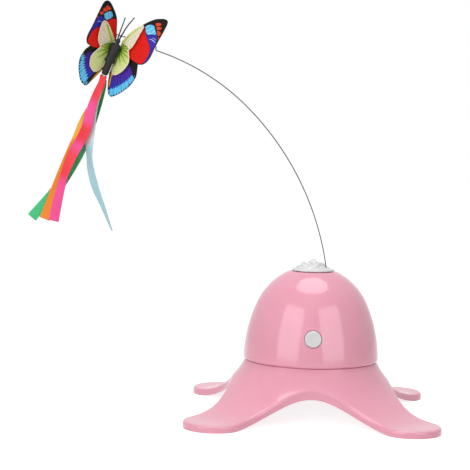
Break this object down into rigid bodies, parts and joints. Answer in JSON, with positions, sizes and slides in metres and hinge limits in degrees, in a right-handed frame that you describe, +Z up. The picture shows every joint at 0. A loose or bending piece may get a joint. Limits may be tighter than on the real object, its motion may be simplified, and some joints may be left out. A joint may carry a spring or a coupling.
{
  "type": "rotating butterfly cat toy",
  "caption": "Battery cat toy: a petal-footed dome with a geared rotor that swings a wire wand, a winged butterfly and hanging ribbons.",
  "frame": {"origin": "on the floor under the rotor's axis", "axes": "+Z up along the rotor's axis, -Y towards the power button, -X towards the butterfly in its rest pose"},
  "size_m": [0.3014, 0.18, 0.2972],
  "materials": {
    "pink_plastic": "glossy moulded ABS",
    "white_plastic": "semi-gloss moulded ABS",
    "foot_rubber": "soft light grey rubber",
    "gear_plastic": "natural acetal",
    "steel": "bright zinc-plated steel",
    "wand_steel": "drawn spring steel",
    "brass": "turned brass",
    "copper": "enamelled copper windings",
    "magnet": "dark ferrite",
    "board": "green solder mask",
    "chip": "moulded epoxy",
    "switch": "black nylon",
    "cell": "wrapped cell",
    "lead_red": "insulated lead",
    "lead_black": "insulated lead",
    "plush": "black flocked body",
    "wing_film": "printed film",
    "inner_film": "printed film",
    "ribbon_pink": "satin",
    "ribbon_orange": "satin",
    "ribbon_green": "satin",
    "ribbon_blue": "satin"
  },
  "bodies": {
    "base": {"petal_base": "pink_plastic", "foot_pads": "foot_rubber", "dome_shell": "pink_plastic", "dome_screws": "steel", "push_switch": "switch", "circuit_board": "board", "board_components": "chip", "lower_gear_plate": "white_plastic", "upper_gear_plate": "white_plastic", "gearbox_screws": "steel", "idler_pins": "steel", "spindle_bush": "brass", "motor_can": "steel", "motor_end_bell": "white_plastic", "motor_terminals": "brass", "motor_magnets": "magnet", "motor_screws": "steel", "battery_tray": "white_plastic", "battery_cells": "cell", "battery_contacts": "steel", "battery_springs": "steel", "tray_screws": "steel", "battery_leads": "lead_red", "motor_leads": "lead_black"},
    "button": {"power_button": "white_plastic"},
    "door": {"battery_door": "white_plastic", "door_screw": "steel"},
    "rotor": {"rotor_cap": "white_plastic", "output_spindle": "steel", "output_gear": "gear_plastic"},
    "second_idler": {"idler_gear_two": "gear_plastic"},
    "first_idler": {"idler_gear_one": "gear_plastic"},
    "motor_rotor": {"motor_pinion": "brass", "motor_shaft": "steel", "motor_armature": "copper"},
    "wand": {"wand_wire": "wand_steel", "wand_beads": "steel"},
    "butterfly": {"butterfly_body": "plush", "hanger_eye": "steel", "tail_loop": "steel"},
    "right_wings": {"right_wing": "wing_film", "right_inner_wing": "inner_film"},
    "left_wings": {"left_wing": "wing_film", "left_inner_wing": "inner_film"},
    "ribbons": {"ribbon_knot": "ribbon_pink", "pink_ribbon": "ribbon_pink", "blue_ribbon": "ribbon_blue", "orange_ribbon": "ribbon_orange", "green_ribbon": "ribbon_green"}
  },
  "joints": [
    {"name": "rotor_spin", "type": "hinge", "parent": "base", "child": "rotor", "pos_m": [0, 0, 0.1], "axis": [0, 0, 1], "continuous": true},
    {"name": "second_idler_spin", "type": "hinge", "parent": "base", "child": "second_idler", "pos_m": [0.0115, 0, 0.088], "axis": [0, 0, 1], "continuous": true},
    {"name": "first_idler_spin", "type": "hinge", "parent": "base", "child": "first_idler", "pos_m": [0.0095, 0.01132, 0.088], "axis": [0, 0, 1], "continuous": true},
    {"name": "motor_spin", "type": "hinge", "parent": "base", "child": "motor_rotor", "pos_m": [-0.00182, 0.01332, 0.07], "axis": [0, 0, 1], "continuous": true},
    {"name": "button_press", "type": "slide", "parent": "base", "child": "button", "axis": [0, 1, 0], "range_m": [0, 0.0012], "stiffness_N_per_m": 600},
    {"name": "door_drop", "type": "slide", "parent": "base", "child": "door", "axis": [0, 0, -1], "range_m": [0, 0.014]},
    {"name": "wand_pull", "type": "slide", "parent": "rotor", "child": "wand", "axis": [-0.1668, 0, 0.986], "range_m": [0, 0.008]},
    {"name": "butterfly_rock", "type": "hinge", "parent": "wand", "child": "butterfly", "pos_m": [-0.14461, 0, 0.27366], "axis": [-0.9627, 0, 0.2706], "continuous": true},
    {"name": "right_wing_flap", "type": "hinge", "parent": "butterfly", "child": "right_wings", "pos_m": [-0.14678, -0.0008, 0.26161], "axis": [-0.3665, 0, -0.9304], "range_deg": [-15, 8], "stiffness_Nm_per_rad": 0.02},
    {"name": "left_wing_flap", "type": "hinge", "parent": "butterfly", "child": "left_wings", "pos_m": [-0.15124, -0.0008, 0.26337], "axis": [0.3665, 0, 0.9304], "range_deg": [-15, 8], "stiffness_Nm_per_rad": 0.02},
    {"name": "ribbon_swing", "type": "hinge", "parent": "butterfly", "child": "ribbons", "pos_m": [-0.15658, -0.0054, 0.24326], "axis": [0.9304, 0, -0.3665], "range_deg": [-40, 40]}
  ],
  "couplings": [
    {"joint": "second_idler_spin", "follows": "rotor_spin", "ratio": -3.6},
    {"joint": "first_idler_spin", "follows": "rotor_spin", "ratio": 12.96},
    {"joint": "motor_spin", "follows": "rotor_spin", "ratio": -46.656}
  ]
}
